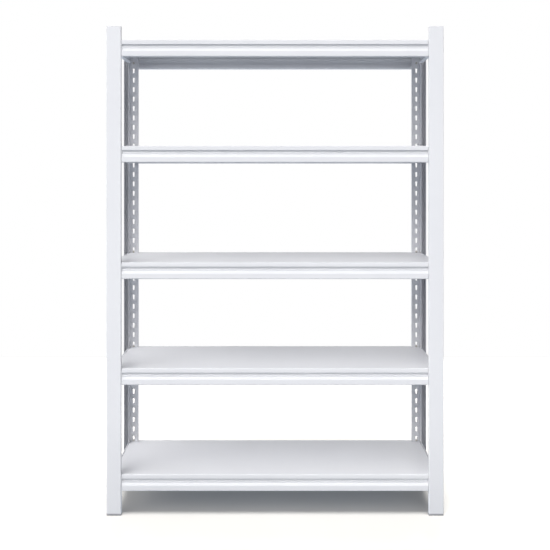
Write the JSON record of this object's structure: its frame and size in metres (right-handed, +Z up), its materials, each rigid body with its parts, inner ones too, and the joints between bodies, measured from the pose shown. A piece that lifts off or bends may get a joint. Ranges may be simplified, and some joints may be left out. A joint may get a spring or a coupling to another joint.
{
  "type": "boltless steel shelving",
  "caption": "Free-standing white steel shelving: four plain-faced slotted posts, levels of grooved beams with side beams, and lift-out sheet-steel decks.",
  "frame": {"origin": "centre of the footprint, on the floor", "axes": "+Z up; +X to the right seen from the front; the front faces -Y"},
  "size_m": [1.24, 0.4, 1.8],
  "materials": {
    "post_coat": "satin white powder coat",
    "beam_coat": "satin white powder coat",
    "deck_coat": "semi-gloss white powder coat",
    "zinc": "zinc plated",
    "foot_plastic": "moulded grey plastic"
  },
  "bodies": {
    "frame": {"post_front_left": "post_coat", "post_front_right": "post_coat", "post_rear_left": "post_coat", "post_rear_right": "post_coat", "foot_front_left": "foot_plastic", "foot_front_right": "foot_plastic", "foot_rear_left": "foot_plastic", "foot_rear_right": "foot_plastic", "front_beam_1": "beam_coat", "front_beam_2": "beam_coat", "front_beam_3": "beam_coat", "front_beam_4": "beam_coat", "front_beam_5": "beam_coat", "rear_beam_1": "beam_coat", "rear_beam_2": "beam_coat", "rear_beam_3": "beam_coat", "rear_beam_4": "beam_coat", "rear_beam_5": "beam_coat", "side_beam_left_1": "beam_coat", "side_beam_left_2": "beam_coat", "side_beam_left_3": "beam_coat", "side_beam_left_4": "beam_coat", "side_beam_left_5": "beam_coat", "side_beam_right_1": "beam_coat", "side_beam_right_2": "beam_coat", "side_beam_right_3": "beam_coat", "side_beam_right_4": "beam_coat", "side_beam_right_5": "beam_coat", "front_plates_1": "beam_coat", "front_plates_2": "beam_coat", "front_plates_3": "beam_coat", "front_plates_4": "beam_coat", "front_plates_5": "beam_coat", "rear_plates_1": "beam_coat", "rear_plates_2": "beam_coat", "rear_plates_3": "beam_coat", "rear_plates_4": "beam_coat", "rear_plates_5": "beam_coat", "side_plates_1": "beam_coat", "side_plates_2": "beam_coat", "side_plates_3": "beam_coat", "side_plates_4": "beam_coat", "side_plates_5": "beam_coat", "rivets_1": "zinc", "rivets_2": "zinc", "rivets_3": "zinc", "rivets_4": "zinc", "rivets_5": "zinc"},
    "deck_panel_1": {"deck_1": "deck_coat", "deck_ribs_1": "deck_coat"},
    "deck_panel_2": {"deck_2": "deck_coat", "deck_ribs_2": "deck_coat"},
    "deck_panel_3": {"deck_3": "deck_coat", "deck_ribs_3": "deck_coat"},
    "deck_panel_4": {"deck_4": "deck_coat", "deck_ribs_4": "deck_coat"},
    "deck_panel_5": {"deck_5": "deck_coat", "deck_ribs_5": "deck_coat"}
  },
  "joints": [
    {"name": "deck_1_lift", "type": "slide", "parent": "frame", "child": "deck_panel_1", "axis": [0, 0, 1], "range_m": [0, 0.12]},
    {"name": "deck_2_lift", "type": "slide", "parent": "frame", "child": "deck_panel_2", "axis": [0, 0, 1], "range_m": [0, 0.12]},
    {"name": "deck_3_lift", "type": "slide", "parent": "frame", "child": "deck_panel_3", "axis": [0, 0, 1], "range_m": [0, 0.12]},
    {"name": "deck_4_lift", "type": "slide", "parent": "frame", "child": "deck_panel_4", "axis": [0, 0, 1], "range_m": [0, 0.12]},
    {"name": "deck_5_lift", "type": "slide", "parent": "frame", "child": "deck_panel_5", "axis": [0, 0, 1], "range_m": [0, 0.12]}
  ]
}
